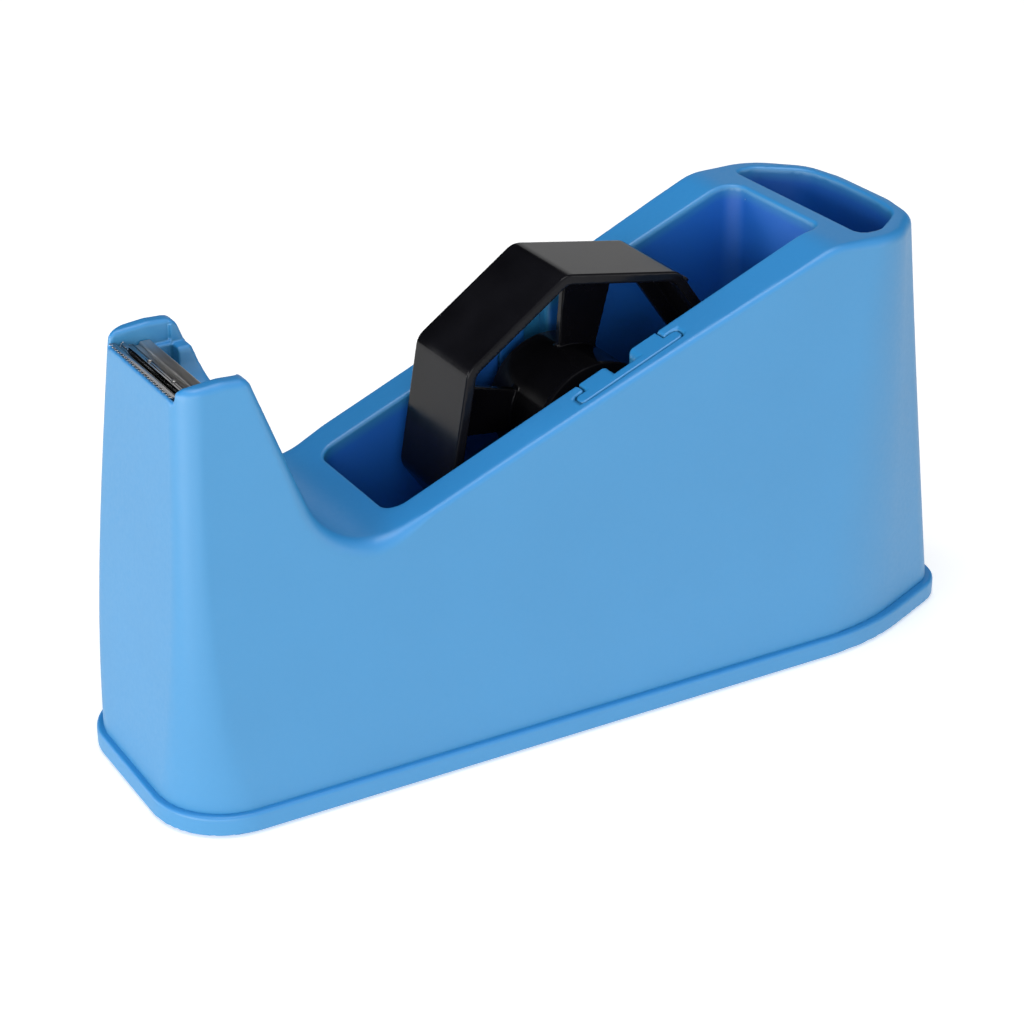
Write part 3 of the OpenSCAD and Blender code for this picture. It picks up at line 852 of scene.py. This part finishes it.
def build_holder():
    lines = (
        graded(HOLDER_LO[0] - 0.6, HOLDER_HI[0] + 0.6, 0.17, 0.4, [-91.8, -87.0, -86.2, -84.3], 0.5),
        graded(HOLDER_LO[1] - 0.6, HOLDER_HI[1] + 0.6, 0.3, 1.5, [-15.8, -14.3, 14.3, 15.8], 0.5),
        graded(HOLDER_LO[2] - 0.6, HOLDER_HI[2] + 0.6, 0.17, 0.8, [83.5, 91.5, 92.1, 92.8], 0.5),
    )
    holder = surface("blade_holder_fold", holder_field, lines, holder_steel)
    stands_for(holder, "housing", "holder_steel", "blade_holder")


def build_rivets():
    low, high = box_mm("blade_rivets")
    x = (low[0] + high[0]) / 2
    r = (high[0] - low[0]) / 2
    dome = [(0.0, 0.0), (r - 0.05, 0.0), (r - 0.05, 5.0), (r, 5.05), (r * 0.9, 5.2),
            (r * 0.5, 5.28), (0.0, 5.3)]
    vertices, faces = lathe(dome, 24)
    spots = [vertices + (x, y, low[2]) for y in (low[1] + r, high[1] - r)]
    numbers = faces + [tuple(v + len(vertices) for v in f) for f in faces]
    rivets = mesh_piece("blade_rivets_domed", np.concatenate(spots), numbers, holder_steel)
    stands_for(rivets, "housing", "holder_steel", "blade_rivets")


# ---- Wheel ----------------------------------------------------------------------------

def wheel_plane(x, z):
    """Distance from the axle, and the angle within one eighth of the octagon from its face."""
    u, v = x - AXLE_X, z - AXLE_Z
    angle = np.mod(np.arctan2(v, u) - OCTAGON_TURN, math.pi / 4) - math.pi / 8
    return np.hypot(u, v), angle


def octagon(rho, angle, corner_r, fillet):
    """Distance to an octagon whose corners are corner_r from the axle before rounding."""
    reach = corner_r * math.cos(math.pi / 8)
    along, across = rho * np.cos(angle), rho * np.abs(np.sin(angle))
    centre = reach - fillet
    centre_across = centre * math.tan(math.pi / 8)
    rounded = np.hypot(np.maximum(along - centre, 0), across - centre_across) - fillet
    rounded = rounded + np.minimum(along - centre, 0)
    return np.where(across > centre_across, rounded, along - reach)


def window_plan(x, z):
    """Distance to the nearest of the four windows in the web, at every second face."""
    u, v = x - AXLE_X, z - AXLE_Z
    angle = np.mod(np.arctan2(v, u) - WINDOW_TURN + math.pi / 4, math.pi / 2) - math.pi / 4
    along, across = np.hypot(u, v) * np.cos(angle), np.hypot(u, v) * np.abs(np.sin(angle))
    sides = [(-14.4, -16.5, 0.0), (25.2, 16.5, 1.5), (29.5, 12.2, 1.5), (29.5, -40.0, 0.0)]
    return rounded_line(along, across, sides)


def adapter_field(x, y, z):
    rho, angle = wheel_plane(x, z)
    outside = octagon(rho, angle, OCTAGON_R, OCTAGON_FILLET)
    inside = octagon(rho, angle, OCTAGON_R - RIM_T / math.cos(math.pi / 8), 3.0)
    rim = both(cut(outside, inside), between(y, WHEEL_Y0, WHEEL_Y1), 0.5)
    web = np.maximum(outside + 1, between(y, WEB_Y, WEB_Y + WEB_T))
    web = cut(web, window_plan(x, z) + 0 * y, 0.3)
    sleeve = both(rho - SLEEVE_R - SLEEVE_T, between(y, WHEEL_Y0 + FLANGE_T + 0.1, WHEEL_Y1), 0.4)
    body = join(join(rim, web, 0.5), sleeve, 0.6)
    body = cut(body, rho - SLEEVE_R + 0 * y, 0.2)
    return np.minimum(body, grip_rib(x, y, z))


def grip_rib(x, y, z):
    """A thin raised bar across the width, just behind the top corner."""
    turn = math.radians(54)
    u, v = x - AXLE_X, z - AXLE_Z
    along = u * math.cos(turn) + v * math.sin(turn)
    across = v * math.cos(turn) - u * math.sin(turn)
    bar = rectangle(along - OCTAGON_R + 1.35, across, 0.95, 0.7, 0.35)
    return both(bar, between(y, WHEEL_Y0 + 0.2, WHEEL_Y1 - 0.2), 0.3)


def build_adapter():
    reach = graded(-39, 39, 0.62, 0.62)
    fine_y = [WHEEL_Y0 + 0.4, WHEEL_Y0 + 1.8, WEB_Y + 0.4, WEB_Y + WEB_T, WHEEL_Y1 - 0.4]
    across = graded(WHEEL_Y0 - 0.8, WHEEL_Y1 + 0.8, 0.36, 1.8, fine_y, 0.5)
    lines = (AXLE_X + reach, across, AXLE_Z + reach)
    adapter = surface("core_adapter_moulding", adapter_field, lines, wheel_black)
    stands_for(adapter, "wheel", "wheel_black", "core_adapter")


def spindle_field(x, y, z):
    rho, _ = wheel_plane(x, z)
    tube = rounded_edge_slab(rho - SPINDLE_R, y, WHEEL_Y0, WHEEL_Y1, 0.3, 0.5)
    near = np.maximum(rho - SPINDLE_R + 1.8, between(y, WHEEL_Y0 - 5, WHEEL_Y - 1))
    far = np.maximum(rho - SPINDLE_R + 1.8, WHEEL_Y + 1 - y)
    flange = both(rho - FLANGE_R, between(y, WHEEL_Y0, WHEEL_Y0 + FLANGE_T), 0.4)
    hub = both(rho - 5, between(y, WHEEL_Y0, WHEEL_Y1), 0.4)
    solid = join(join(cut(tube, np.minimum(near, far), 0.3), flange, 0.1), hub, 0.4)
    return cut(solid, rho - AXLE_R - 0.05 + 0 * y, 0.25)


def build_spindle():
    reach = graded(-16.8, 16.8, 0.45, 0.45)
    fine_y = [WHEEL_Y0 + 0.7, WHEEL_Y, WHEEL_Y1]
    across = graded(WHEEL_Y0 - 0.6, WHEEL_Y1 + 0.6, 0.3, 1.4, fine_y, 1.2)
    lines = (AXLE_X + reach, across, AXLE_Z + reach)
    spindle = surface("core_spindle_moulding", spindle_field, lines, spindle_black)
    stands_for(spindle, "wheel", "wheel_black", "core_spindle")


def along_axle(profile, steps=64):
    """A lathe along Y through (radius, y) points, round the axle."""
    vertices, faces = lathe(profile, steps)
    turned = np.stack([AXLE_X + vertices[:, 0], vertices[:, 2], AXLE_Z - vertices[:, 1]], 1)
    return turned, faces


def build_axle():
    """The rod, with its ends chamfered and faced."""
    r, y0, y1 = AXLE_R, AXLE_LO[1], AXLE_HI[1]
    rod = [(0.0, y0), (r - 0.7, y0), (r - 0.6, y0 + 0.05), (r - 0.1, y0 + 0.5), (r, y0 + 0.7),
           (r, y1 - 0.7), (r - 0.1, y1 - 0.5), (r - 0.6, y1 - 0.05), (r - 0.7, y1), (0.0, y1)]
    vertices, faces = along_axle(rod)
    axle = mesh_piece("axle_rod", vertices, faces, bright_steel)
    stands_for(axle, "axle", "bright_steel", "axle")


def build_collars():
    """Sleeves with rounded rims that keep the wheel in its place across the well."""
    for side in ("left", "right"):
        low, high = box_mm(f"axle_collar_{side}")
        r, y0, y1 = (high[0] - low[0]) / 2, low[1], high[1]
        ring = [(AXLE_R, y0 + 0.3), (AXLE_R + 0.3, y0), (r - 0.5, y0), (r - 0.15, y0 + 0.15),
                (r, y0 + 0.5), (r, y1 - 0.5), (r - 0.15, y1 - 0.15), (r - 0.5, y1),
                (AXLE_R + 0.3, y1), (AXLE_R, y1 - 0.3), (AXLE_R, y0 + 0.3)]
        vertices, faces = along_axle(ring)
        collar = mesh_piece(f"axle_collar_{side}_sleeve", vertices, faces, wheel_black)
        stands_for(collar, "axle", "wheel_black", f"axle_collar_{side}")


# ---- Scene ----------------------------------------------------------------------------

def dress_ballast():
    """The iron blocks keep their CAD shape, with a cast finish."""
    for node in ("ballast_front", "ballast_rear"):
        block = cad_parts[node]
        block.data.materials.clear()
        block.data.materials.append(ballast_iron)


def floor_material():
    material, tree, shader, place = new_material("studio_floor")
    cloud = spread(tree, noise(tree, place, 3, 2), 0, 1)
    tone = blend_colours(tree, cloud, (0.9, 0.9, 0.9), (0.92, 0.92, 0.92))
    tree.links.new(tone, shader.inputs["Base Color"])
    shader.inputs["Roughness"].default_value = 0.9
    shader.inputs["Specular IOR Level"].default_value = 0.0
    shader.inputs["Emission Color"].default_value = (1, 1, 1, 1)
    shader.inputs["Emission Strength"].default_value = FLOOR_GLOW
    return material


def build_floor():
    half = FLOOR_HALF
    corners = [(-half, -half, 0), (half, -half, 0), (half, half, 0), (-half, half, 0)]
    mesh = bpy.data.meshes.new("floor")
    mesh.from_pydata(corners, [], [(0, 1, 2, 3)])
    mesh.materials.append(floor_material())
    floor = bpy.data.objects.new("floor", mesh)
    bpy.context.scene.collection.objects.link(floor)


def area_light(name, at, size, tall, power):
    """A soft box that faces the middle of the object."""
    data = bpy.data.lights.new(name, "AREA")
    data.shape = "RECTANGLE"
    data.size = size
    data.size_y = tall
    data.energy = power
    light = bpy.data.objects.new(name, data)
    light.location = at
    aim = Vector(LIGHTS_AIM) - Vector(at)
    light.rotation_mode = "QUATERNION"
    light.rotation_quaternion = aim.to_track_quat("-Z", "Y")
    bpy.context.scene.collection.objects.link(light)


FLOOR_HALF, FLOOR_GLOW = 6.0, 0.4
WORLD_FRONT, WORLD_BEHIND = 0.6, 0.0
LIGHTS_AIM = (0, 0, 0.05)
# Name, place, width, height and power of each soft box
LIGHTS = [
    ("camera_side", (-0.6, -1.4, 0.35), 0.7, 0.7, 5.2),
    ("right", (1.1, -1.2, 0.35), 0.7, 0.7, 2.8),
    ("left", (-1.5, -0.3, 0.3), 0.7, 0.7, 11.0),
    ("front_right", (-1.3, -0.9, 0.14), 0.9, 0.26, 3.5),
    ("left_behind", (-1.2, 0.9, 0.3), 0.7, 0.7, 6.0),
    ("top", (-0.1, 0.0, 1.5), 0.8, 0.8, 9.2),
    ("behind", (0.9, 1.2, 0.45), 0.7, 0.7, 1.0),
]
CAMERA_AT = (-0.2628, -0.4392, 0.2935)
CAMERA_AZIMUTH, CAMERA_ELEVATION = math.radians(-30.115), math.radians(26.41)
CAMERA_LENS, SENSOR = 90.2, 36.0


def light_studio():
    """A pale room that is darker behind the object, with soft boxes round and above it."""
    world = bpy.data.worlds.new("studio")
    world.use_nodes = True
    tree = world.node_tree
    direction = tree.nodes.new("ShaderNodeTexCoord").outputs["Generated"]
    split = tree.nodes.new("ShaderNodeSeparateXYZ")
    tree.links.new(direction, split.inputs["Vector"])
    glow = spread(tree, split.outputs["Y"], WORLD_BEHIND, WORLD_FRONT, 0.35, -0.55)
    tree.links.new(glow, tree.nodes["Background"].inputs["Strength"])
    tree.nodes["Background"].inputs["Color"].default_value = (1, 1, 1, 1)
    bpy.context.scene.world = world
    for light in LIGHTS:
        area_light(*light)
    bpy.context.scene.view_settings.view_transform = "Standard"


def place_camera():
    data = bpy.data.cameras.new("camera")
    data.lens = CAMERA_LENS
    data.sensor_width = SENSOR
    data.clip_start, data.clip_end = 0.01, 50
    camera = bpy.data.objects.new("camera", data)
    level = math.cos(CAMERA_ELEVATION)
    aim = Vector((-math.sin(CAMERA_AZIMUTH) * level, math.cos(CAMERA_AZIMUTH) * level,
                  -math.sin(CAMERA_ELEVATION)))
    camera.location = CAMERA_AT
    camera.rotation_mode = "QUATERNION"
    camera.rotation_quaternion = aim.to_track_quat("-Z", "Y")
    bpy.context.scene.collection.objects.link(camera)
    bpy.context.scene.camera = camera


build_shell()
build_base()
build_feet()
build_screws("base_screws_cross", SCREW_AT, 14, "base_screws")
build_screws("ballast_screws_cross", BALLAST_SCREW_AT, 9, "ballast_screws")
build_brackets()
build_strip()
build_holder()
build_rivets()
build_adapter()
build_spindle()
build_axle()
build_collars()
dress_ballast()
build_floor()
light_studio()
place_camera()
